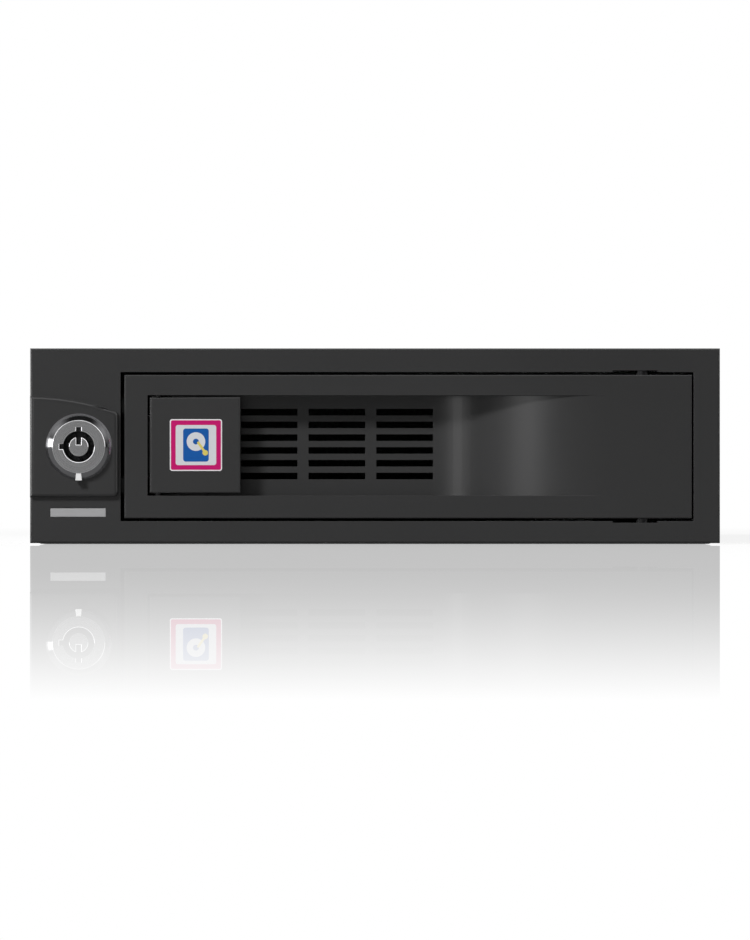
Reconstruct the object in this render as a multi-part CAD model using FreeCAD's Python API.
"""Trayless hot swap cage for one 3.5 inch drive, in a half height 5.25 inch bay.

Everything is drawn with y = 0 on the bezel's front face, +Y to the back, +X to the
right as seen from the front and z = 0 under the chassis floor. place() then moves each
piece back so that the origin is at the middle of the depth. Millimetres throughout.
Small screws and rivets are left out; the sheet has the countersinks that they sit in.
"""
import FreeCAD, Part
import math
import os

Vec = FreeCAD.Vector
X, Y, Z = Vec(1, 0, 0), Vec(0, 1, 0), Vec(0, 0, 1)

# ---------------------------------------------------------------- driving sizes
# bezel and case; the case is narrower and lower than the bezel by the lips
BEZEL_W, BEZEL_TOP, BEZEL_BOTTOM = 148.0, 42.0, 0.2
BEZEL_DEEP, BEZEL_WALL, BEZEL_SIDE, BEZEL_EDGE_R = 5.0, 2.5, 3.0, 0.6
RIM_T, LIP_SIDE, LIP_TOP = 1.5, 1.0, 0.7
SHEET, CASE_REAR, BEND_IN_R, COVER_EDGE_R = 1.0, 187.0, 0.4, 0.6

# 3.5 inch drive and the bay that holds it
DRIVE_W, DRIVE_LEN = 101.6, 147.0
DRIVE_GAP, DRIVE_UNDER, DRIVE_SIDE_GAP = 1.8, 7.9, 0.4

# door, from the bezel's outer edges, and the gaps round it
DOOR_FROM_LEFT, DOOR_FROM_RIGHT = 20.21, 5.97
DOOR_BOTTOM, DOOR_FROM_TOP = 5.49, 5.67
DOOR_THICK, DOOR_FLOOR_T, DOOR_EDGE_R = 8.2, 1.9, 0.4
GAP_LEFT, GAP_RIGHT, GAP_ENDS = 0.77, 0.32, 0.56

# hinge, from the door's right edge
HINGE_IN, HINGE_Y = 10.63, 2.5
HINGE_PIN_R, HINGE_PLAY, HINGE_BORE_DEEP, HINGE_PIN_SHORT, HINGE_IN_RIM = 1.5, 0.05, 6.5, 0.4, 3.0
HINGE_RELIEF_LEFT, HINGE_RELIEF_RIGHT, HINGE_RELIEF_DEEP = 6.4, 3.2, 0.35
DOOR_SWING = math.radians(95)

# finger pocket and grille in the door
POCKET_FROM_HINGE, POCKET_FROM_BOTTOM, POCKET_FROM_TOP = 7.7, 4.89, 4.4
CREST_R, FOOT_R = 80.0, 42.0
SLOT_W, SLOT_H, SLOT_PITCH_X, SLOT_PITCH_Z = 12.2, 1.38, 14.6, 2.76
SLOT_COLUMNS, SLOT_ROWS, SLOT_FROM_PADDLE, SLOT_FROM_POCKET = 3, 6, 20.62, 11.1
DOOR_RIB_T, DOOR_RIB_X, DOOR_FRAME_T = 1.2, (30.0, 41.0), 2.0

# latch paddle
PADDLE_FROM_DOOR, PADDLE_W, PADDLE_GROOVE = 5.45, 19.52, 0.43
PADDLE_GAP_BOTTOM, PADDLE_GAP_TOP, PADDLE_THICK, PADDLE_EDGE_R = 0.52, 0.36, 1.9, 0.5
LATCH_IN, LATCH_Y = 1.6, 1.6
LATCH_PIN_R, LATCH_PLAY, LATCH_BARREL_R, LATCH_PIN_IN = 0.7, 0.05, 1.45, 2.5
HOOK_REACH, HOOK_H, HOOK_T, HOOK_ROOM = 1.44, 3.5, 1.5, 0.5
JAMB_DEEP, HOOK_GAP = 5.6, 0.4
SPRING_IN_R, SPRING_OUT_R, SPRING_Z, SPRING_LEN, SPRING_ROOM = 0.8, 1.1, 20.0, 2.4, 0.3
LABEL_IN, LABEL_W, LABEL_UP, LABEL_H, LABEL_T, LABEL_R = 4.34, 11.2, 4.8, 11.1, 0.12, 0.5

# key lock, from the bezel's left edge
LOCK_FROM_LEFT, LOCK_Z = 10.56, 20.9
LOCK_PROUD, RING_BASE_R, RING_FRONT_R, BARREL_R = 3.2, 7.35, 5.65, 5.2
CORE_R, POST_R, CORE_PLAY, POST_SUNK = 3.3, 2.05, 0.05, 0.2
KEYWAY_DEEP, NOTCH_W, NOTCH_R, NOTCH_DEEP = 4.7, 1.15, 4.17, 1.5
POST_SLOT_W, POST_SLOT_FROM, POST_SLOT_DEEP = 1.1, 0.4, 1.4
BARREL_END, BARREL_SHORT, CAM_T, CAM_W, CAM_LEN, CAM_EYE = 12.0, 0.1, 1.5, 6.0, 12.0, 1.0
NUT_WALL, NUT_T, TAIL = 1.3, 2.0, 4.0
PANEL_PROUD, PANEL_FROM_LOCK, PANEL_DOWN, PANEL_UP = 1.3, 8.45, 10.84, 10.82
PANEL_ARC_R, PANEL_EDGE_R, PANEL_CORNER_R = 55.0, 1.0, 1.2

# steel eye on the door that the lock's cam turns up into
KEEPER_IN, KEEPER_T, KEEPER_FOOT, KEEPER_BEHIND = 0.79, 1.2, 4.0, 2.5
KEEPER_DOWN, KEEPER_UP, KEEPER_ROOF_GAP, KEEPER_PLAY = 5.2, 5.6, 0.9, 0.8

# status light: a light pipe from the board to the window under the lock
LED_FROM_LEFT, LED_W, LED_BOTTOM, LED_H = 4.36, 11.85, 5.88, 1.84
LED_SUNK, PIPE_PLAY, PIPE_FROM_LED, PIPE_W, PIPE_HEAD, PIPE_SHORT = 0.15, 0.05, 5.64, 4.0, 8.0, 1.6
CLIP_Y, CLIP_WALL, CLIP_HALF, CLIP_LIP = (48.0, 128.0), 1.5, 4.0, 0.4
LIGHT_W, LIGHT_T, LIGHT_PITCH = 1.8, 1.1, 2.2

# ejector: a slide on the floor, driven by a cam track in the door's short end
TRACK_START, EJECT = 12.0, 7.0
EJECT_PIN_R, TRACK_PLAY, TRACK_WALL, TRACK_OVER = 1.0, 0.12, 1.4, 0.03
WEB_BOTTOM, WEB_TOP, WEB_GAP = 5.5, 7.5, 1.2
SLIDE_W, SLIDE_T, SLIDE_LIFT, SLIDE_NOSE, SLIDE_NOSE_R = 7.0, 1.0, 0.05, 2.2, 2.0
TAB_FROM_BAY, TAB_W, TAB_TOP, TAB_GAP, CROSS_LEN, TAB_BEND_R = 1.2, 10.0, 22.0, 0.4, 8.0, 0.6
SLIDE_RIVET_R, SLIDE_RIVET_Y, SLIDE_RIVET_PLAY = 1.5, (42.0, 122.0), 0.1
SLIDE_HEAD_R, SLIDE_HEAD_T = 2.8, 0.8

# rails
RAIL_IN, RAIL_T, RAIL_FROM_COVER, RAIL_GAP = 8.0, 2.0, 4.3, 1.0
LEDGE_IN, LEDGE_T, FOOT_T = 5.2, 1.5, 1.5
RIB_OUT, RIB_T, RIB_UP, RIB_Y, LIP_T = 2.0, 1.2, 3.0, (27.0, 82.5, 138.0), 1.2
LEAD_IN, LEAD_LEN = 1.2, 7.0
LEAF_Y, LEAF_HALF, LEAF_T, LEAF_H, LEAF_Z = (55.0, 110.0), 12.0, 0.3, 8.0, 22.0
LEAF_PROUD, LEAF_TAIL, LEAF_ROOM = 0.25, 3.0, 0.5
RAIL_SCREW_Y = (30.0, 132.0)

# soft strips inside the door
BUMPER_X, BUMPER_W, BUMPER_GAP, BUMPER_R, BUMPER_Z = (-38.0, 17.0), 6.0, 0.3, 0.6, (13.0, 30.0)

# backplane
BOARD_BEHIND, BOARD_T, BOARD_CORNER_R = 3.0, 1.6, 1.5
BOARD_PAST_PIPE, BOARD_PAST_BRACKET, BOARD_UP, BOARD_FROM_COVER = 4.5, 8.0, 2.0, 2.3
AIR_X, AIR_W, AIR_Z, AIR_R = (-44.0, 32.0), 18.0, (17.0, 34.0), 2.0
TAB_NOTCH, TAB_NOTCH_TOP = 2.0, 6.0
BRACKET_FROM_BAY, BRACKET_W, BRACKET_T, BRACKET_FOOT = 4.8, 8.0, 1.0, 9.0
CONN_LEFT, CONN_W, CONN_BOTTOM, CONN_H, CONN_DEEP, CONN_EDGE_R = -38.0, 43.0, 8.3, 5.4, 7.0, 0.8
TONGUE_H, KEY_W, KEY_H, TONGUE_DROP = 1.8, 1.2, 2.0, 0.5
POWER_SLOT, DATA_SLOT, SLOT_MARGIN_LEFT, SLOT_MARGIN_RIGHT, SLOT_FLOOR = 21.5, 11.0, 3.0, 3.0, 2.0
CONTACT_PITCH, CONTACT_W, CONTACT_T, CONTACT_IN, CONTACT_SUNK = 1.27, 0.6, 0.4, 2.2, 0.8
CAN_X, CAN_R, CAN_LEN, CAN_Z = (-18.0, -26.0), 3.1, 7.0, 9.0
CHIPS = ((-44.0, -34.0, 1.2, 6.0, 13.0), (-10.6, -5.4, 1.4, 23.0, 29.0))
HEADER_X, HEADER_Z, HEADER_W, HEADER_H, HEADER_LEN = -8.6, 6.0, 7.6, 3.6, 5.8
HEADER_PITCH, HEADER_HOLE, HEADER_FIRST, HEADER_UP, HEADER_FLOOR = 2.54, 0.6, 1.0, 1.5, 2.0

# rear: ports, vents and fan
DATA_X, DATA_W, DATA_Z, DATA_H = 9.0, 14.0, 12.0, 5.6
DATA_WALL_X, DATA_WALL_Z, DATA_WELL, DATA_TONGUE_W, DATA_TONGUE_LEN = 1.2, 1.0, 6.0, 9.6, 5.5
POWER_X, POWER_W, POWER_Z, POWER_H = 38.0, 21.2, 12.0, 8.2
POWER_WALL, POWER_WELL, POWER_BEVEL, POWER_BEVEL_IN = 1.0, 12.0, 1.6, 1.4
POWER_PIN_R, POWER_PIN_LEN, POWER_PITCH, PORT_PLAY, PORT_PROUD = 1.05, 9.2, 5.08, 0.2, 0.4
VENT_ROWS, VENT_Z, VENT_PITCH, VENT_H, VENT_LEFT, VENT_RIGHT = 4, 22.0, 4.0, 2.0, 4.0, 60.0
REAR_FLANGE, FLANGE_SHORT, REAR_SCREW_Z = 9.0, 2.0, 20.0
FAN, FAN_T, FAN_X, FAN_CORNER_R = 35.0, 10.0, -31.0, 2.5
FAN_BORE_R, FAN_TIP_R, FAN_HUB_R, FAN_BLADES, FAN_HUB_WALL = 16.2, 15.5, 8.6, 7, 1.2
FAN_BASE_T, FAN_SHAFT_R, FAN_SHAFT_PLAY, FAN_BOSS_R, FAN_BOSS_LEN = 2.2, 0.75, 0.05, 2.2, 4.0
FAN_STRUT_W, FAN_STRUT_TURNS, FAN_SET_BACK, FAN_HUB_GAP, FAN_HUB_EDGE = 2.0, (10, 130, 250), 0.6, 0.4, 0.7
FAN_SHAFT_IN, FAN_BLADE_IN, FAN_BLADE_HALF_T = 0.8, 3.3, 0.35
GUARD_IN_R, GUARD_MID_R, GUARD_SPOKE_W, GUARD_OUT = (3.4, 6.6), (8.2, 11.2), 1.8, (12.8, 0.6)

# standard mounting holes, and countersinks for the case's own screws
MOUNT_R, MOUNT_Y, MOUNT_PITCH = 1.25, 52.4, 79.25
MOUNT_Z, MOUNT_BOTTOM_X = (10.0, 21.84), 69.85
CSK_HEAD_R, CSK_R = 2.45, 1.25
LUG_T, LUG_LEN, LUG_H, LUG_Z, LUG_SCREW, LUG_ROOT = 3.0, 10.0, 7.0, (14.0, 31.0), 5.0, 0.4
COVER_TAB_Y, COVER_TAB_HALF, COVER_TAB_H, COVER_SCREW_DOWN = (32.0, 96.0, 160.0), 7.0, 7.0, 3.5

# a cutting solid runs this far past what it cuts
OVER = 1.0
FAR = 99.0

# ---------------------------------------------------------------- sizes that follow
BEZEL_X = BEZEL_W / 2
CASE_X = BEZEL_X - LIP_SIDE
CASE_H = BEZEL_TOP - LIP_TOP
INNER_X = CASE_X - SHEET
COVER_Z = CASE_H - SHEET
PANEL_Y = CASE_REAR - SHEET
REAR_SCREW_Y = PANEL_Y - REAR_FLANGE / 2

DOOR_LEFT, DOOR_RIGHT = -BEZEL_X + DOOR_FROM_LEFT, BEZEL_X - DOOR_FROM_RIGHT
DOOR_TOP = BEZEL_TOP - DOOR_FROM_TOP
OPEN_LEFT, OPEN_RIGHT = DOOR_LEFT - GAP_LEFT, DOOR_RIGHT + GAP_RIGHT
OPEN_BOTTOM, OPEN_TOP = DOOR_BOTTOM - GAP_ENDS, DOOR_TOP + GAP_ENDS
HINGE_X = DOOR_RIGHT - HINGE_IN

POCKET_DEEP = DOOR_THICK - DOOR_FLOOR_T
POCKET_RIGHT = HINGE_X - POCKET_FROM_HINGE
POCKET_BOTTOM, POCKET_TOP = DOOR_BOTTOM + POCKET_FROM_BOTTOM, DOOR_TOP - POCKET_FROM_TOP
PADDLE_LEFT = DOOR_LEFT + PADDLE_FROM_DOOR
PADDLE_RIGHT = PADDLE_LEFT + PADDLE_W
PADDLE_BOTTOM, PADDLE_TOP = POCKET_BOTTOM + PADDLE_GAP_BOTTOM, POCKET_TOP - PADDLE_GAP_TOP
POCKET_LEFT = PADDLE_LEFT - PADDLE_GROOVE
SLOT_MID_X, SLOT_MID_Z = PADDLE_RIGHT + SLOT_FROM_PADDLE, POCKET_BOTTOM + SLOT_FROM_POCKET
LATCH_X = PADDLE_LEFT + LATCH_IN
LATCH_PIN_FROM, LATCH_PIN_TO = POCKET_BOTTOM - LATCH_PIN_IN, POCKET_TOP + LATCH_PIN_IN
HOOK_FRONT = JAMB_DEEP + HOOK_GAP
HOOK_TIP = OPEN_LEFT - HOOK_REACH

LOCK_X = -BEZEL_X + LOCK_FROM_LEFT
PANEL_RIGHT = LOCK_X + PANEL_FROM_LOCK
PANEL_BOTTOM, PANEL_TOP = LOCK_Z - PANEL_DOWN, LOCK_Z + PANEL_UP
CORE_Y = -LOCK_PROUD + KEYWAY_DEEP
KEEPER_LEFT = DOOR_LEFT + KEEPER_IN
KEEPER_REAR = BARREL_END + CAM_T + KEEPER_BEHIND
LED_LEFT = -BEZEL_X + LED_FROM_LEFT
LED_RIGHT, LED_TOP = LED_LEFT + LED_W, LED_BOTTOM + LED_H
PIPE_MID = LED_LEFT + PIPE_FROM_LED

DRIVE_FRONT = DOOR_THICK + DRIVE_GAP
DRIVE_REAR = DRIVE_FRONT + DRIVE_LEN
BAY_X = DRIVE_W / 2 + DRIVE_SIDE_GAP
RAIL_X = BAY_X + RAIL_T
RAIL_TOP = COVER_Z - RAIL_FROM_COVER
RAIL_SCREW_X = BAY_X - LEDGE_IN / 2

TRACK_RATE = EJECT / DOOR_SWING
EJECT_PIN_Y = HINGE_Y + TRACK_START
SLIDE_Z = SHEET + SLIDE_LIFT
SLIDE_LEFT = HINGE_X - SLIDE_W / 2 + 0.5
SLIDE_MID = SLIDE_LEFT + SLIDE_W / 2
TAB_RIGHT = BAY_X - TAB_FROM_BAY
TAB_LEFT, TAB_Y = TAB_RIGHT - TAB_W, DRIVE_REAR + TAB_GAP
SLIDE_REAR = TAB_Y + SLIDE_T
RAIL_FRONT, RAIL_REAR = DRIVE_FRONT + RAIL_IN, SLIDE_REAR - CROSS_LEN - EJECT - RAIL_GAP

BOARD_FRONT = DRIVE_REAR + BOARD_BEHIND
BOARD_REAR = BOARD_FRONT + BOARD_T
BRACKET_X = BAY_X + BRACKET_FROM_BAY
BOARD_LEFT, BOARD_RIGHT = PIPE_MID - BOARD_PAST_PIPE, BRACKET_X + BOARD_PAST_BRACKET
BOARD_BOTTOM, BOARD_TOP = SHEET + BOARD_UP, COVER_Z - BOARD_FROM_COVER
PORT_END = CASE_REAR + PORT_PROUD

FAN_Z = (SHEET + COVER_Z) / 2
FAN_FRONT = PANEL_Y - FAN_T
FAN_BASE_Y = PANEL_Y - FAN_BASE_T
GUARD_SLOTS = (GUARD_IN_R, GUARD_MID_R, (GUARD_OUT[0], FAN_BORE_R - GUARD_OUT[1]))
MIDDLE = (PORT_END - LOCK_PROUD) / 2

# radius, chord, pitch and turn ahead of a blade's two ends
BLADE_ROOT = (FAN_HUB_R - 2 * FAN_BLADE_HALF_T, 5.6, 48, 0)
BLADE_TIP = (FAN_TIP_R, 8.6, 32, 14)

PARTS = {}


# ---------------------------------------------------------------- drawing helpers
def box(x0, x1, y0, y1, z0, z1):
    return Part.makeBox(x1 - x0, y1 - y0, z1 - z0, Vec(x0, y0, z0))


def rod(x, y, z, along, radius, length):
    return Part.makeCylinder(radius, length, Vec(x, y, z), along)


def taper(x, y, z, along, r0, r1, length):
    return Part.makeCone(r0, r1, length, Vec(x, y, z), along)


def edges_where(shape, test):
    return [e for e in shape.Edges if test(e.BoundBox)]


def rounded(shape, radius, test):
    return shape.makeFillet(radius, edges_where(shape, test))


def same(a, b):
    return abs(a - b) < 1e-4


def front_edges(y):
    """Test for the edges that lie in the plane at depth y."""
    return lambda b: same(b.YMin, y) and same(b.YMax, y)


def outline(points, along):
    """Solid from a flat outline of straight sides, thickened along a vector."""
    return Part.Face(Part.makePolygon(points + points[:1])).extrude(along)


def countersink(x, y, z, along):
    """Hole through the sheet for a flush screw, wide at the given point."""
    return taper(x, y, z, along, CSK_HEAD_R, CSK_R, SHEET)


def wall(side, a, b, *rest):
    """Box between two distances from the middle, on the left (-1) or the right (1)."""
    near, far = sorted((side * a, side * b))
    return box(near, far, *rest)


def node(name, *solids):
    PARTS[name] = solids


def place(shape):
    shape = shape.copy()
    shape.translate(Vec(0, -MIDDLE, 0))
    return shape


# ---------------------------------------------------------------- sheet metal case
def chassis_tray():
    block = box(-CASE_X, CASE_X, BEZEL_DEEP, CASE_REAR, 0, COVER_Z)
    low = lambda b: same(b.ZMax, 0) and same(b.XMin, b.XMax)
    block = rounded(block, BEND_IN_R + SHEET, low)
    inside = box(-INNER_X, INNER_X, BEZEL_DEEP - OVER, CASE_REAR + OVER, SHEET, COVER_Z + OVER)
    inner_low = lambda b: same(b.ZMax, SHEET) and same(b.XMin, b.XMax)
    inside = rounded(inside, BEND_IN_R, inner_low)
    holes = []
    for y in (MOUNT_Y, MOUNT_Y + MOUNT_PITCH):
        for side in (-1, 1):
            for z in MOUNT_Z:
                holes.append(rod(side * (INNER_X - OVER), y, z, X * side, MOUNT_R, SHEET + 2 * OVER))
            holes.append(rod(side * MOUNT_BOTTOM_X, y, -OVER, Z, MOUNT_R, SHEET + 2 * OVER))
    sunk = [(BEZEL_DEEP + LUG_SCREW, z) for z in LUG_Z]
    sunk += [(COVER_TAB_Y[-1], COVER_Z - COVER_SCREW_DOWN), (REAR_SCREW_Y, REAR_SCREW_Z)]
    for side in (-1, 1):
        holes += [countersink(side * CASE_X, y, z, X * -side) for y, z in sunk]
        holes += [countersink(side * RAIL_SCREW_X, y, 0, Z) for y in RAIL_SCREW_Y]
    for y in SLIDE_RIVET_Y:
        holes.append(rod(SLIDE_MID, y, -OVER, Z, SLIDE_RIVET_R, SHEET + 2 * OVER))
    node("chassis_tray", block.cut(inside).cut(holes))


def top_cover():
    plate = box(-CASE_X, CASE_X, BEZEL_DEEP, CASE_REAR, COVER_Z, CASE_H)
    upper = lambda b: same(b.ZMin, CASE_H) and same(b.XMin, b.XMax)
    plate = rounded(plate, COVER_EDGE_R, upper)
    tabs = [wall(side, INNER_X, INNER_X - SHEET, y - COVER_TAB_HALF, y + COVER_TAB_HALF,
                 COVER_Z - COVER_TAB_H, COVER_Z + SHEET / 2)
            for side in (-1, 1) for y in COVER_TAB_Y]
    node("top_cover", plate.fuse(tabs).removeSplitter())


def guard_rings():
    """Punched fan guard: ring slots broken by four spokes."""
    y0, length = PANEL_Y - OVER, SHEET + 2 * OVER
    rings = [rod(FAN_X, y0, FAN_Z, Y, outer, length).cut(rod(FAN_X, y0, FAN_Z, Y, inner, length))
             for inner, outer in GUARD_SLOTS]
    spokes = []
    for turn in (45, 135):
        bar = box(FAN_X - FAN, FAN_X + FAN, y0, y0 + length,
                  FAN_Z - GUARD_SPOKE_W / 2, FAN_Z + GUARD_SPOKE_W / 2)
        bar.rotate(Vec(FAN_X, 0, FAN_Z), Y, turn)
        spokes.append(bar)
    return [ring.cut(spokes) for ring in rings]


def rear_panel():
    plate = box(-INNER_X, INNER_X, PANEL_Y, CASE_REAR, SHEET, COVER_Z)
    low = lambda b: same(b.ZMax, SHEET) and same(b.XMin, b.XMax)
    plate = rounded(plate, BEND_IN_R, low)
    flanges = [wall(side, INNER_X, INNER_X - SHEET, PANEL_Y - REAR_FLANGE, PANEL_Y + SHEET / 2,
                    SHEET + FLANGE_SHORT, COVER_Z - FLANGE_SHORT) for side in (-1, 1)]
    holes = guard_rings()
    for x, w, z, h in ((DATA_X, DATA_W, DATA_Z, DATA_H), (POWER_X, POWER_W, POWER_Z, POWER_H)):
        half_w, half_h = w / 2 + PORT_PLAY, h / 2 + PORT_PLAY
        holes.append(box(x - half_w, x + half_w, PANEL_Y - OVER, CASE_REAR + OVER, z - half_h, z + half_h))
    for row in range(VENT_ROWS):
        z = VENT_Z + row * VENT_PITCH - VENT_H / 2
        holes.append(box(VENT_LEFT, VENT_RIGHT, PANEL_Y - OVER, CASE_REAR + OVER, z, z + VENT_H))
    node("rear_panel", plate.fuse(flanges).removeSplitter().cut(holes))


# ---------------------------------------------------------------- bezel
def lock_boss():
    """Raised panel round the key lock; its top edge is one arc falling to the right."""
    left, centre_z = -BEZEL_X, PANEL_TOP - PANEL_ARC_R
    at = lambda x: centre_z + math.sqrt(PANEL_ARC_R ** 2 - (x - left) ** 2)
    middle_x = (left + PANEL_RIGHT) / 2
    start, end = Vec(left, 0, PANEL_TOP), Vec(PANEL_RIGHT, 0, at(PANEL_RIGHT))
    arc = Part.Arc(start, Vec(middle_x, 0, at(middle_x)), end).toShape()
    sides = chain(end, Vec(PANEL_RIGHT, 0, PANEL_BOTTOM), Vec(left, 0, PANEL_BOTTOM), start)
    boss = Part.Face(Part.Wire([arc, *sides])).extrude(Y * (PANEL_PROUD + BEZEL_WALL / 2))
    boss.translate(Y * -PANEL_PROUD)
    right = lambda b: same(b.XMin, PANEL_RIGHT) and same(b.XMax, PANEL_RIGHT) and b.YLength > PANEL_PROUD
    boss = rounded(boss, PANEL_CORNER_R, right)
    return rounded(boss, PANEL_EDGE_R, front_edges(-PANEL_PROUD))


def front_bezel():
    shell = box(-BEZEL_X, BEZEL_X, 0, BEZEL_DEEP, BEZEL_BOTTOM, BEZEL_TOP)
    shell = rounded(shell, BEZEL_EDGE_R, front_edges(0))
    back = BEZEL_DEEP + OVER
    jamb_left = OPEN_LEFT - HOOK_REACH
    jamb = box(jamb_left, OPEN_LEFT, BEZEL_WALL, JAMB_DEEP, OPEN_BOTTOM, OPEN_TOP)
    lugs = [wall(side, INNER_X, INNER_X - LUG_T, BEZEL_DEEP - LUG_ROOT, BEZEL_DEEP + LUG_LEN,
                 z - LUG_H / 2, z + LUG_H / 2) for side in (-1, 1) for z in LUG_Z]
    cores = [box(-BEZEL_X + BEZEL_SIDE, jamb_left, BEZEL_WALL, back,
                 BEZEL_BOTTOM + BEZEL_SIDE, BEZEL_TOP - BEZEL_SIDE)]
    relief_left = HINGE_X - HINGE_RELIEF_LEFT
    for low, high in ((BEZEL_BOTTOM + RIM_T, OPEN_BOTTOM - RIM_T), (OPEN_TOP + RIM_T, BEZEL_TOP - RIM_T)):
        cores.append(box(OPEN_LEFT, relief_left, BEZEL_WALL, back, low, high))
    door_hole = box(OPEN_LEFT, OPEN_RIGHT, -OVER, back, OPEN_BOTTOM, OPEN_TOP)
    relief = box(relief_left, HINGE_X + HINGE_RELIEF_RIGHT, -OVER, back,
                 OPEN_BOTTOM - HINGE_RELIEF_DEEP, OPEN_TOP + HINGE_RELIEF_DEEP)
    pins = [rod(HINGE_X, HINGE_Y, z0, Z, HINGE_PIN_R, z1 - z0) for z0, z1 in hinge_pin_spans()]
    lock_hole = rod(LOCK_X, -FAR, LOCK_Z, Y, BARREL_R, 2 * FAR)
    window = box(LED_LEFT - PIPE_PLAY, LED_RIGHT + PIPE_PLAY, -FAR, back,
                 LED_BOTTOM - PIPE_PLAY, LED_TOP + PIPE_PLAY)
    body = shell.cut(cores).fuse([lock_boss(), *lugs]).cut(door_hole).fuse(jamb)
    node("front_bezel", body.removeSplitter().cut([relief, *pins, lock_hole, window]))


def hinge_pin_spans():
    """Bottom and top hinge pin: from inside the bezel's rim into the door's bore."""
    reach = HINGE_BORE_DEEP - HINGE_PIN_SHORT
    return ((OPEN_BOTTOM - HINGE_IN_RIM, DOOR_BOTTOM + reach),
            (DOOR_TOP - reach, OPEN_TOP + HINGE_IN_RIM))


def hinge_pins():
    node("hinge_pins", *[rod(HINGE_X, HINGE_Y, z0, Z, HINGE_PIN_R, z1 - z0)
                         for z0, z1 in hinge_pin_spans()])


# ---------------------------------------------------------------- door
def ramp_foot_x():
    """Where the S ramp leaves the pocket's floor: two tangent arcs set its length."""
    run = math.sqrt(POCKET_DEEP * (2 * CREST_R + 2 * FOOT_R - POCKET_DEEP))
    return POCKET_RIGHT - run


def ramp_edges(grow=0.0):
    """The S ramp from the floor to the face as two arcs, moved back by grow behind the skin."""
    foot = Vec(ramp_foot_x(), POCKET_DEEP - FOOT_R, 0)
    crest = Vec(POCKET_RIGHT, CREST_R, 0)
    joint = (foot * CREST_R + crest * FOOT_R) * (1 / (CREST_R + FOOT_R))
    foot_r, crest_r = FOOT_R + grow, CREST_R - grow
    meet = foot + (joint - foot) * (foot_r / FOOT_R)
    a, b = foot + Vec(0, foot_r, 0), crest - Vec(0, crest_r, 0)
    mid_foot = foot + ((a - foot) + (meet - foot)).normalize() * foot_r
    mid_crest = crest + ((meet - crest) + (b - crest)).normalize() * crest_r
    return a, b, [Part.Arc(a, mid_foot, meet).toShape(), Part.Arc(meet, mid_crest, b).toShape()]


def chain(*points):
    return [Part.LineSegment(p, q).toShape() for p, q in zip(points, points[1:])]


def pocket():
    a, b, ramp = ramp_edges()
    rest = chain(b, Vec(b.x, -OVER, 0), Vec(POCKET_LEFT, -OVER, 0), Vec(POCKET_LEFT, a.y, 0), a)
    solid = Part.Face(Part.Wire(ramp + rest)).extrude(Z * (POCKET_TOP - POCKET_BOTTOM))
    solid.translate(Z * POCKET_BOTTOM)
    return solid


def ramp_relief():
    """Hollow behind the ramp, so that the moulding keeps one wall; ribs are left across it."""
    a, b, ramp = ramp_edges(DOOR_FLOOR_T)
    back, end = DOOR_THICK + OVER, HINGE_X - HINGE_RELIEF_LEFT
    rest = chain(b, Vec(end, b.y, 0), Vec(end, back, 0), Vec(a.x, back, 0), a)
    low, high = WEB_TOP + WEB_GAP, DOOR_TOP - DOOR_FRAME_T
    solid = Part.Face(Part.Wire(ramp + rest)).extrude(Z * (high - low))
    solid.translate(Z * low)
    half = DOOR_RIB_T / 2
    ribs = [box(x - half, x + half, 0, back, low, high) for x in DOOR_RIB_X]
    ribs.append(box(a.x, end, 0, back, SLOT_MID_Z - half, SLOT_MID_Z + half))
    return solid.cut(ribs)


def track_point(angle):
    """Centre of the cam track in the door, from the hinge: the pin draws in as the door turns."""
    reach = TRACK_START - TRACK_RATE * angle
    return Vec(reach * math.sin(angle), reach * math.cos(angle), 0)


def track(half_width, z0, z1):
    """A band round the track's centre line, with round ends, as a solid from z0 to z1."""
    steps, ahead_by = 12, 1e-4
    sides = ([], [])
    for i in range(steps + 1):
        angle = -TRACK_OVER + (DOOR_SWING + 2 * TRACK_OVER) * i / steps
        here = track_point(angle)
        run = (track_point(angle + ahead_by) - here).normalize()
        across = Vec(-run.y, run.x, 0) * half_width
        sides[0].append(here + across)
        sides[1].append(here - across)
    curves = []
    for points in sides:
        curve = Part.BSplineCurve()
        curve.interpolate(points)
        curves.append(curve.toShape())
    ends = [Part.LineSegment(sides[0][i], sides[1][i]).toShape() for i in (0, -1)]
    band = Part.Face(Part.Wire(Part.__sortEdges__(curves + ends))).extrude(Z * (z1 - z0))
    caps = [Part.makeCylinder(half_width, z1 - z0, track_point(angle), Z)
            for angle in (-TRACK_OVER, DOOR_SWING + TRACK_OVER)]
    solid = band.fuse(caps).removeSplitter()
    solid.translate(Vec(HINGE_X, HINGE_Y, z0))
    return solid


def hook_spans():
    return ((PADDLE_BOTTOM, PADDLE_BOTTOM + HOOK_H), (PADDLE_TOP - HOOK_H, PADDLE_TOP))


def grille_slots():
    slots = []
    for column in range(SLOT_COLUMNS):
        for row in range(SLOT_ROWS):
            x = SLOT_MID_X + (column - (SLOT_COLUMNS - 1) / 2) * SLOT_PITCH_X
            z = SLOT_MID_Z + (row - (SLOT_ROWS - 1) / 2) * SLOT_PITCH_Z
            slots.append(box(x - SLOT_W / 2, x + SLOT_W / 2, POCKET_DEEP - OVER, DOOR_THICK + OVER,
                             z - SLOT_H / 2, z + SLOT_H / 2))
    return slots


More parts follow.
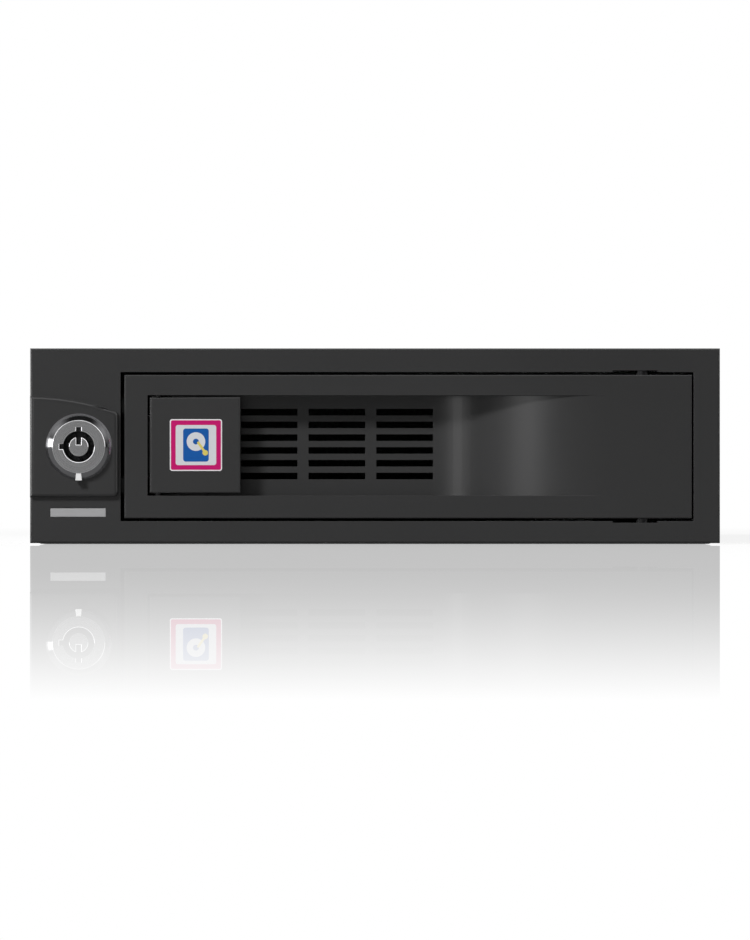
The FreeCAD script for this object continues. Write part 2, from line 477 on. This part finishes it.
def door_panel():
    slab = box(DOOR_LEFT, DOOR_RIGHT, 0, DOOR_THICK, DOOR_BOTTOM, DOOR_TOP)
    slab = rounded(slab, DOOR_EDGE_R, front_edges(0))
    back = DOOR_THICK + OVER
    behind = box(-FAR, DOOR_RIGHT, DOOR_THICK / 2, FAR, 0, FAR)
    web = track(EJECT_PIN_R + TRACK_PLAY + TRACK_WALL, WEB_BOTTOM, WEB_TOP).common(behind)
    cuts = [pocket(), ramp_relief(), *grille_slots()]
    cuts.append(track(EJECT_PIN_R + TRACK_PLAY, WEB_BOTTOM - OVER, WEB_TOP + TRACK_PLAY))
    for z0, z1 in ((DOOR_BOTTOM - OVER, DOOR_BOTTOM + HINGE_BORE_DEEP),
                   (DOOR_TOP - HINGE_BORE_DEEP, DOOR_TOP + OVER)):
        cuts.append(rod(HINGE_X, HINGE_Y, z0, Z, HINGE_PIN_R + HINGE_PLAY, z1 - z0))
    cuts.append(rod(LATCH_X, LATCH_Y, LATCH_PIN_FROM, Z, LATCH_PIN_R, LATCH_PIN_TO - LATCH_PIN_FROM))
    for low, high in hook_spans():
        z0, z1 = low - HOOK_ROOM, high + HOOK_ROOM
        cuts.append(box(DOOR_LEFT - OVER, POCKET_LEFT + OVER, PADDLE_THICK + HOOK_ROOM, back, z0, z1))
        cuts.append(box(POCKET_LEFT, LATCH_X + 2 * LATCH_BARREL_R, POCKET_DEEP - OVER, back, z0, z1))
    node("door_panel", slab.fuse(web).removeSplitter().cut(cuts))


def lock_keeper():
    """Steel eye on the door that the lock's cam turns up into from below."""
    x0, x1 = KEEPER_LEFT, KEEPER_LEFT + KEEPER_T
    z0, z1 = LOCK_Z - KEEPER_DOWN, LOCK_Z + KEEPER_UP
    foot = box(x0, x0 + KEEPER_FOOT, DOOR_THICK, DOOR_THICK + KEEPER_T, z0, z1)
    eye = box(x0, x1, DOOR_THICK, KEEPER_REAR, z0, z1)
    slot = box(x0 - OVER, x1 + OVER, BARREL_END - KEEPER_PLAY, BARREL_END + CAM_T + KEEPER_PLAY,
               z0 - OVER, LOCK_Z + CAM_W / 2 + KEEPER_ROOF_GAP)
    node("lock_keeper", foot.fuse(eye).removeSplitter().cut(slot))


def drive_bumpers():
    """Soft strips inside the door that steady the drive's front face."""
    end = DRIVE_FRONT - BUMPER_GAP
    pads = [box(x - BUMPER_W / 2, x + BUMPER_W / 2, DOOR_THICK, end, *BUMPER_Z) for x in BUMPER_X]
    node("drive_bumpers", *[rounded(pad, BUMPER_R, front_edges(end)) for pad in pads])


# ---------------------------------------------------------------- latch
def hook_arm(z0, z1):
    """Arm from the paddle's barrel, back and left behind the bezel's jamb."""
    y0, y1 = HOOK_FRONT, HOOK_FRONT + HOOK_T
    right, left = LATCH_X + 0.75 * LATCH_BARREL_R, LATCH_X - 0.75 * LATCH_BARREL_R
    points = [(right, PADDLE_THICK), (left, PADDLE_THICK), (POCKET_LEFT - 1.2 * HOOK_T, y0),
              (HOOK_TIP, y0), (HOOK_TIP, y0 + 0.6 * HOOK_T), (HOOK_TIP + 0.7 * HOOK_T, y1),
              (POCKET_LEFT - 0.5 * HOOK_T, y1), (right, y0 - 0.9 * HOOK_T)]
    return outline([Vec(x, y, z0) for x, y in points], Z * (z1 - z0))


def latch_paddle():
    plate = box(PADDLE_LEFT, PADDLE_RIGHT, 0, PADDLE_THICK, PADDLE_BOTTOM, PADDLE_TOP)
    plate = rounded(plate, PADDLE_EDGE_R, front_edges(0))
    barrel = rod(LATCH_X, LATCH_Y, PADDLE_BOTTOM, Z, LATCH_BARREL_R, PADDLE_TOP - PADDLE_BOTTOM)
    arms = [hook_arm(z0, z1) for z0, z1 in hook_spans()]
    bore = rod(LATCH_X, LATCH_Y, 0, Z, LATCH_PIN_R + LATCH_PLAY, FAR)
    room, low = SPRING_OUT_R + SPRING_ROOM, SPRING_Z - SPRING_ROOM
    high = SPRING_Z + SPRING_LEN + SPRING_ROOM
    seat = rod(LATCH_X, LATCH_Y, low, Z, room, high - low)
    window = box(LATCH_X - room, LATCH_X + room, LATCH_Y, FAR, low, high)
    body = plate.fuse([barrel, *arms]).removeSplitter()
    node("latch_paddle", body.cut([bore, seat, window]))


def latch_label():
    x0, z0 = PADDLE_LEFT + LABEL_IN, PADDLE_BOTTOM + LABEL_UP
    label = box(x0, x0 + LABEL_W, -LABEL_T, 0, z0, z0 + LABEL_H)
    corner = lambda b: b.YLength > LABEL_T / 2
    node("latch_label", rounded(label, LABEL_R, corner))


def latch_pin():
    node("latch_pin", rod(LATCH_X, LATCH_Y, LATCH_PIN_FROM, Z, LATCH_PIN_R, LATCH_PIN_TO - LATCH_PIN_FROM))


def latch_spring():
    """The coil round the latch pin as one sleeve, with its leg back to the pocket's floor."""
    coil = rod(LATCH_X, LATCH_Y, SPRING_Z, Z, SPRING_OUT_R, SPRING_LEN)
    coil = coil.cut(rod(LATCH_X, LATCH_Y, SPRING_Z - OVER, Z, SPRING_IN_R, SPRING_LEN + 2 * OVER))
    wire = SPRING_OUT_R - SPRING_IN_R
    leg_x = LATCH_X + SPRING_IN_R + 0.1 * wire
    leg = box(leg_x, leg_x + 0.8 * wire, LATCH_Y, POCKET_DEEP, SPRING_Z, SPRING_Z + wire)
    node("latch_spring", coil.fuse(leg).removeSplitter())


# ---------------------------------------------------------------- key lock
def lock_housing():
    ring = taper(LOCK_X, -LOCK_PROUD, LOCK_Z, Y, RING_FRONT_R, RING_BASE_R, LOCK_PROUD - PANEL_PROUD)
    barrel = rod(LOCK_X, -PANEL_PROUD, LOCK_Z, Y, BARREL_R, BARREL_END - BARREL_SHORT + PANEL_PROUD)
    bore = rod(LOCK_X, -FAR, LOCK_Z, Y, CORE_R + CORE_PLAY, 2 * FAR)
    half, floor = NOTCH_W / 2, -LOCK_PROUD + NOTCH_DEEP
    up = box(LOCK_X - half, LOCK_X + half, -FAR, floor, LOCK_Z, LOCK_Z + NOTCH_R)
    left = box(LOCK_X - NOTCH_R, LOCK_X, -FAR, floor, LOCK_Z - half, LOCK_Z + half)
    node("lock_housing", ring.fuse(barrel).removeSplitter().cut([bore, up, left]))


def lock_nut():
    corner = (BARREL_R + NUT_WALL) / math.cos(math.pi / 6)
    turns = [math.radians(60 * i) for i in range(6)]
    nut = outline([Vec(LOCK_X + corner * math.sin(t), BEZEL_WALL, LOCK_Z + corner * math.cos(t))
                   for t in turns], Y * NUT_T)
    node("lock_nut", nut.cut(rod(LOCK_X, 0, LOCK_Z, Y, BARREL_R, FAR)))


def cam_tail(y0, y1):
    """Square end of the plug that the cam sits on."""
    return box(LOCK_X - TAIL / 2, LOCK_X + TAIL / 2, y0, y1, LOCK_Z - TAIL / 2, LOCK_Z + TAIL / 2)


def lock_plug():
    core = rod(LOCK_X, CORE_Y, LOCK_Z, Y, CORE_R, BARREL_END - CORE_Y)
    post = rod(LOCK_X, -LOCK_PROUD + POST_SUNK, LOCK_Z, Y, POST_R, KEYWAY_DEEP)
    slot = box(LOCK_X - POST_SLOT_W / 2, LOCK_X + POST_SLOT_W / 2, -FAR,
               -LOCK_PROUD + POST_SUNK + POST_SLOT_DEEP, LOCK_Z + POST_SLOT_FROM, LOCK_Z + CORE_R)
    body = core.fuse([post, cam_tail(BARREL_END, BARREL_END + CAM_T)]).removeSplitter()
    node("lock_plug", body.cut(slot))


def lock_cam():
    half, end = CAM_W / 2, LOCK_Z - CAM_LEN + CAM_W / 2
    arm = box(LOCK_X - half, LOCK_X + half, BARREL_END, BARREL_END + CAM_T, end, LOCK_Z)
    ends = [rod(LOCK_X, BARREL_END, LOCK_Z, Y, CORE_R + CAM_EYE, CAM_T),
            rod(LOCK_X, BARREL_END, end, Y, half, CAM_T)]
    node("lock_cam", arm.fuse(ends).removeSplitter().cut(cam_tail(0, FAR)))


# ---------------------------------------------------------------- status light
def light_pipe():
    half = PIPE_W / 2
    head = box(LED_LEFT, LED_RIGHT, LED_SUNK, PIPE_HEAD, LED_BOTTOM, LED_TOP)
    bar = box(PIPE_MID - half, PIPE_MID + half, PIPE_HEAD - OVER, BOARD_FRONT - PIPE_SHORT,
              LED_BOTTOM, LED_TOP)
    node("light_pipe", head.fuse(bar).removeSplitter())
    clips = []
    for y in CLIP_Y:
        y0, y1 = y - CLIP_HALF, y + CLIP_HALF
        saddle = box(PIPE_MID - half - CLIP_WALL, PIPE_MID + half + CLIP_WALL, y0, y1, SHEET, LED_TOP + OVER)
        groove = box(PIPE_MID - half, PIPE_MID + half, y0 - OVER, y1 + OVER, LED_BOTTOM, FAR)
        lips = [box(PIPE_MID + s * half - CLIP_LIP, PIPE_MID + s * half + CLIP_LIP, y0, y1,
                    LED_TOP, LED_TOP + OVER) for s in (-1, 1)]
        clips.append(saddle.cut(groove).fuse(lips).removeSplitter())
    node("pipe_clips", *clips)
    lights = [PIPE_MID - LIGHT_PITCH / 2, PIPE_MID + LIGHT_PITCH / 2]
    node("status_leds", *[box(x - LIGHT_W / 2, x + LIGHT_W / 2, BOARD_FRONT - LIGHT_T, BOARD_FRONT,
                              LED_BOTTOM, LED_TOP) for x in lights])


# ---------------------------------------------------------------- rails
def leaf_spring(side, y):
    """Spring leaf bowed in to the drive, with a flat tail at each end on the rail's outer face."""
    bow_x = DRIVE_W / 2 + LEAF_PROUD
    faces = []
    for offset in (0, LEAF_T):
        tail, bow = RAIL_X + offset, bow_x + offset
        corners = [Vec(side * x, y + dy, 0) for x, dy in (
            (tail, -LEAF_HALF - LEAF_TAIL), (tail, -LEAF_HALF), (bow, 0), (tail, LEAF_HALF),
            (tail, LEAF_HALF + LEAF_TAIL))]
        arc = Part.Arc(corners[1], corners[2], corners[3]).toShape()
        faces.append((corners, chain(*corners[:2]) + [arc] + chain(*corners[3:])))
    (inner, inner_edges), (outer, outer_edges) = faces
    ends = chain(inner[0], outer[0]) + chain(inner[-1], outer[-1])
    wire = Part.Wire(Part.__sortEdges__(inner_edges + outer_edges + ends))
    leaf = Part.Face(wire).extrude(Z * LEAF_H)
    leaf.translate(Z * (LEAF_Z - LEAF_H / 2))
    return leaf


def rail_and_springs(side, name):
    span = (RAIL_FRONT, RAIL_REAR)
    rail = wall(side, BAY_X, RAIL_X, *span, SHEET, RAIL_TOP)
    ledge = wall(side, BAY_X - LEDGE_IN, BAY_X, *span, DRIVE_UNDER - LEDGE_T, DRIVE_UNDER)
    foot = wall(side, BAY_X - LEDGE_IN, BAY_X, *span, SHEET, SHEET + FOOT_T)
    ribs = [wall(side, RAIL_X, RAIL_X + RIB_OUT, y - RIB_T / 2, y + RIB_T / 2, SHEET + RIB_UP, RAIL_TOP)
            for y in RIB_Y]
    lip = wall(side, RAIL_X, RAIL_X + RIB_OUT, *span, RAIL_TOP - LIP_T, RAIL_TOP)
    z0, z1 = LEAF_Z - LEAF_H / 2 - LEAF_ROOM, LEAF_Z + LEAF_H / 2 + LEAF_ROOM
    cuts = [wall(side, BAY_X - OVER, RAIL_X + OVER, y - LEAF_HALF, y + LEAF_HALF, z0, z1) for y in LEAF_Y]
    near, front = BAY_X - OVER, RAIL_FRONT - OVER
    lead = [(near, front), (BAY_X + LEAD_IN, front), (near, RAIL_FRONT + LEAD_LEN)]
    cuts.append(outline([Vec(side * x, y, DRIVE_UNDER) for x, y in lead], Z * RAIL_TOP))
    node(name, rail.fuse([ledge, foot, lip, *ribs]).removeSplitter().cut(cuts))
    return [leaf_spring(side, y) for y in LEAF_Y]


# ---------------------------------------------------------------- ejector
def ejector_slide():
    z0, z1 = SLIDE_Z, SLIDE_Z + SLIDE_T
    x1, front = SLIDE_LEFT + SLIDE_W, EJECT_PIN_Y - SLIDE_NOSE
    strip = box(SLIDE_LEFT, x1, front, SLIDE_REAR, z0, z1)
    strip = rounded(strip, SLIDE_NOSE_R, lambda b: same(b.XLength, 0) and same(b.YMax, front))
    cross = box(TAB_LEFT, x1, SLIDE_REAR - CROSS_LEN, SLIDE_REAR, z0, z1)
    tab = box(TAB_LEFT, TAB_RIGHT, TAB_Y, SLIDE_REAR, z0, TAB_TOP)
    r = TAB_BEND_R
    bend = box(TAB_LEFT, TAB_RIGHT, TAB_Y - r, TAB_Y, z1, z1 + r)
    bend = bend.cut(rod(TAB_LEFT, TAB_Y - r, z1 + r, X, r, TAB_W))
    cuts = [rod(HINGE_X, EJECT_PIN_Y, 0, Z, EJECT_PIN_R, FAR)]
    half = SLIDE_RIVET_R + SLIDE_RIVET_PLAY
    for y in SLIDE_RIVET_Y:
        cuts += [rod(SLIDE_MID, end, 0, Z, half, SLIDE_Z + SLIDE_T + OVER) for end in (y, y + EJECT)]
        cuts.append(box(SLIDE_MID - half, SLIDE_MID + half, y, y + EJECT, 0, SLIDE_Z + SLIDE_T + OVER))
    node("ejector_slide", strip.fuse([cross, tab, bend]).removeSplitter().cut(cuts))
    node("ejector_pin", rod(HINGE_X, EJECT_PIN_Y, z0, Z, EJECT_PIN_R, WEB_TOP - HINGE_PIN_SHORT / 2 - z0))


def slide_rivets():
    top = SLIDE_Z + SLIDE_T + SLIDE_RIVET_PLAY
    rivets = [rod(SLIDE_MID, y, 0, Z, SLIDE_RIVET_R, top).fuse(
        rod(SLIDE_MID, y, top, Z, SLIDE_HEAD_R, SLIDE_HEAD_T)).removeSplitter() for y in SLIDE_RIVET_Y]
    node("slide_rivets", *rivets)


# ---------------------------------------------------------------- backplane
def backplane_board():
    board = box(BOARD_LEFT, BOARD_RIGHT, BOARD_FRONT, BOARD_REAR, BOARD_BOTTOM, BOARD_TOP)
    corners = lambda b: b.YLength > BOARD_T / 2
    board = rounded(board, BOARD_CORNER_R, corners)
    y0, y1 = BOARD_FRONT - OVER, BOARD_REAR + OVER
    cuts = [rounded(box(x - AIR_W / 2, x + AIR_W / 2, y0, y1, *AIR_Z), AIR_R, corners) for x in AIR_X]
    cuts.append(box(TAB_LEFT - TAB_NOTCH, TAB_RIGHT + TAB_NOTCH, y0, y1, 0, TAB_NOTCH_TOP))
    node("backplane_board", board.cut(cuts))


def board_brackets():
    half, front = BRACKET_W / 2, BOARD_REAR
    brackets = []
    for x in (-BRACKET_X, BRACKET_X):
        plate = box(x - half, x + half, front, front + BRACKET_T, SHEET, BOARD_TOP)
        foot = box(x - half, x + half, front, front + BRACKET_FOOT, SHEET, SHEET + BRACKET_T)
        brackets.append(plate.fuse(foot).removeSplitter())
    node("board_brackets", *brackets)


def tongue_slots(x, y, z, length, deep):
    """L shaped key of one connector segment."""
    long = box(x, x + length, y, y + deep, z - TONGUE_H / 2, z + TONGUE_H / 2)
    key = box(x, x + KEY_W, y, y + deep, z - TONGUE_H / 2, z + KEY_H)
    return long.fuse(key).removeSplitter()


def drive_connector():
    y0 = BOARD_FRONT - CONN_DEEP
    x0, x1 = CONN_LEFT, CONN_LEFT + CONN_W
    shell = box(x0, x1, y0, BOARD_FRONT, CONN_BOTTOM, CONN_BOTTOM + CONN_H)
    shell = rounded(shell, CONN_EDGE_R, front_edges(y0))
    z = CONN_BOTTOM + CONN_H / 2 - TONGUE_DROP
    power_x, data_x = x0 + SLOT_MARGIN_LEFT, x1 - SLOT_MARGIN_RIGHT - DATA_SLOT
    deep = CONN_DEEP - SLOT_FLOOR + OVER
    node("drive_connector", shell.cut([tongue_slots(power_x, y0 - OVER, z, POWER_SLOT, deep),
                                       tongue_slots(data_x, y0 - OVER, z, DATA_SLOT, deep)]))
    blades = []
    low = z - TONGUE_H / 2
    for start, count in ((power_x, 15), (data_x, 7)):
        for i in range(count):
            x = start + CONTACT_IN + i * CONTACT_PITCH
            blades.append(box(x - CONTACT_W / 2, x + CONTACT_W / 2, y0 + CONTACT_SUNK,
                              BOARD_FRONT - SLOT_FLOOR, low, low + CONTACT_T))
    node("connector_contacts", *blades)


def port_body(x, w, z, h, inset_x, inset_z, y0, y1):
    """Block of one port between two depths, drawn in from its outline by the insets."""
    return box(x - w / 2 + inset_x, x + w / 2 - inset_x, y0, y1, z - h / 2 + inset_z, z + h / 2 - inset_z)


def bevelled(block, size):
    """The two long upper edges of a port, cut off so that a plug goes in one way round."""
    top = block.BoundBox.ZMax
    return block.makeChamfer(size, edges_where(block, lambda b: b.YLength > OVER and same(b.ZMin, top)))


def rear_ports():
    data = (DATA_X, DATA_W, DATA_Z, DATA_H)
    body = port_body(*data, 0, 0, BOARD_REAR, PORT_END)
    well = port_body(*data, DATA_WALL_X, DATA_WALL_Z, PORT_END - DATA_WELL, PORT_END + OVER)
    tongue = box(DATA_X - DATA_TONGUE_W / 2, DATA_X + DATA_TONGUE_W / 2, PORT_END - DATA_WELL - OVER,
                 PORT_END - DATA_WELL + DATA_TONGUE_LEN - OVER, DATA_Z - OVER, DATA_Z + CONTACT_T)
    node("data_port", body.cut(well).fuse(tongue).removeSplitter())
    power = (POWER_X, POWER_W, POWER_Z, POWER_H)
    body = bevelled(port_body(*power, 0, 0, BOARD_REAR, PORT_END), POWER_BEVEL)
    well = port_body(*power, POWER_WALL, POWER_WALL, PORT_END - POWER_WELL, PORT_END + OVER)
    node("power_port", body.cut(bevelled(well, POWER_BEVEL_IN)))
    node("power_pins", *[rod(POWER_X + (i - 1.5) * POWER_PITCH, PORT_END - POWER_WELL, POWER_Z, Y,
                             POWER_PIN_R, POWER_PIN_LEN) for i in range(4)])


def board_parts():
    cans = [rod(x, BOARD_REAR, CAN_Z, Y, CAN_R, CAN_LEN) for x in CAN_X]
    chips = [box(x0, x1, BOARD_REAR, BOARD_REAR + t, z0, z1) for x0, x1, t, z0, z1 in CHIPS]
    node("board_parts", *cans, *chips)
    header = box(HEADER_X, HEADER_X + HEADER_W, BOARD_REAR, BOARD_REAR + HEADER_LEN,
                 HEADER_Z, HEADER_Z + HEADER_H)
    wells = []
    for i in range(3):
        x, z = HEADER_X + HEADER_FIRST + HEADER_PITCH * i, HEADER_Z + HEADER_UP
        wells.append(box(x, x + HEADER_HOLE, BOARD_REAR + HEADER_FLOOR, BOARD_REAR + HEADER_LEN + OVER,
                         z, z + HEADER_HOLE))
    node("fan_header", header.cut(wells))


# ---------------------------------------------------------------- fan
def fan_frame():
    half = FAN / 2
    frame = box(FAN_X - half, FAN_X + half, FAN_FRONT, PANEL_Y, FAN_Z - half, FAN_Z + half)
    frame = rounded(frame, FAN_CORNER_R, lambda b: same(b.YLength, FAN_T))
    ring = frame.cut(rod(FAN_X, FAN_FRONT - OVER, FAN_Z, Y, FAN_BORE_R, FAN_T + 2 * OVER))
    base = rod(FAN_X, FAN_BASE_Y, FAN_Z, Y, FAN_HUB_R, FAN_BASE_T)
    boss = rod(FAN_X, FAN_BASE_Y - FAN_BOSS_LEN, FAN_Z, Y, FAN_BOSS_R, FAN_BOSS_LEN + FAN_BASE_T / 2)
    struts = []
    for turn in FAN_STRUT_TURNS:
        strut = box(FAN_X + FAN_HUB_R - OVER, FAN_X + FAN_BORE_R + FAN_SET_BACK, FAN_BASE_Y, PANEL_Y,
                    FAN_Z - FAN_STRUT_W / 2, FAN_Z + FAN_STRUT_W / 2)
        strut.rotate(Vec(FAN_X, 0, FAN_Z), Y, turn)
        struts.append(strut)
    well = rod(FAN_X, FAN_FRONT, FAN_Z, Y, FAN_SHAFT_R + FAN_SHAFT_PLAY, FAN_T - FAN_BASE_T / 2)
    node("fan_frame", ring.fuse([base, boss, *struts]).removeSplitter().cut(well))


def blade(turn):
    """One swept blade: two thin sections, the outer one flatter and turned ahead."""
    wires = []
    for radius, chord, pitch, lead in (BLADE_ROOT, BLADE_TIP):
        a = math.radians(pitch)
        along = Vec(math.cos(a), math.sin(a), 0) * (chord / 2)
        across = Vec(math.sin(a), -math.cos(a), 0) * FAN_BLADE_HALF_T
        ring = [across - along, across + along, along - across, -along - across]
        wire = Part.makePolygon([p + Z * radius for p in ring + ring[:1]])
        wire.rotate(Vec(0, 0, 0), Y, lead)
        wires.append(wire)
    solid = Part.makeLoft(wires, True, True)
    solid.translate(Vec(FAN_X, FAN_FRONT + FAN_SET_BACK + FAN_BLADE_IN, FAN_Z))
    solid.rotate(Vec(FAN_X, 0, FAN_Z), Y, turn)
    return solid


def fan_impeller():
    front, end = FAN_FRONT + FAN_SET_BACK, FAN_BASE_Y - FAN_HUB_GAP
    hub = rod(FAN_X, front, FAN_Z, Y, FAN_HUB_R, end - front)
    hub = hub.makeChamfer(FAN_HUB_EDGE, edges_where(hub, front_edges(front)))
    cup = rod(FAN_X, front + FAN_HUB_WALL, FAN_Z, Y, FAN_HUB_R - FAN_HUB_WALL, FAR)
    shaft = rod(FAN_X, front, FAN_Z, Y, FAN_SHAFT_R, end + FAN_SHAFT_IN - front)
    limit = rod(FAN_X, front, FAN_Z, Y, FAN_TIP_R, end - front)
    inner = rod(FAN_X, front - OVER, FAN_Z, Y, FAN_HUB_R - FAN_HUB_WALL / 2, FAR)
    blades = [blade(360 / FAN_BLADES * i).common(limit).cut(inner) for i in range(FAN_BLADES)]
    node("fan_impeller", hub.cut(cup).fuse([shaft, *blades]).removeSplitter())


def build():
    chassis_tray()
    top_cover()
    rear_panel()
    front_bezel()
    hinge_pins()
    door_panel()
    lock_keeper()
    drive_bumpers()
    latch_paddle()
    latch_label()
    latch_pin()
    latch_spring()
    lock_housing()
    lock_nut()
    lock_plug()
    lock_cam()
    light_pipe()
    node("rail_springs", *rail_and_springs(-1, "rail_left"), *rail_and_springs(1, "rail_right"))
    ejector_slide()
    slide_rivets()
    backplane_board()
    board_brackets()
    drive_connector()
    rear_ports()
    board_parts()
    fan_frame()
    fan_impeller()


def export():
    os.makedirs("parts", exist_ok=True)
    for name, solids in PARTS.items():
        loose = []
        for shape in solids:
            loose.extend(shape.Solids)
        for solid in loose:
            if not solid.isValid() or solid.Volume <= 0:
                print("bad solid in", name)
        whole = loose[0] if len(loose) == 1 else Part.makeCompound(loose)
        place(whole).exportStep("parts/" + name + ".step")
        print(name, len(loose), round(sum(s.Volume for s in loose), 1))


build()
export()
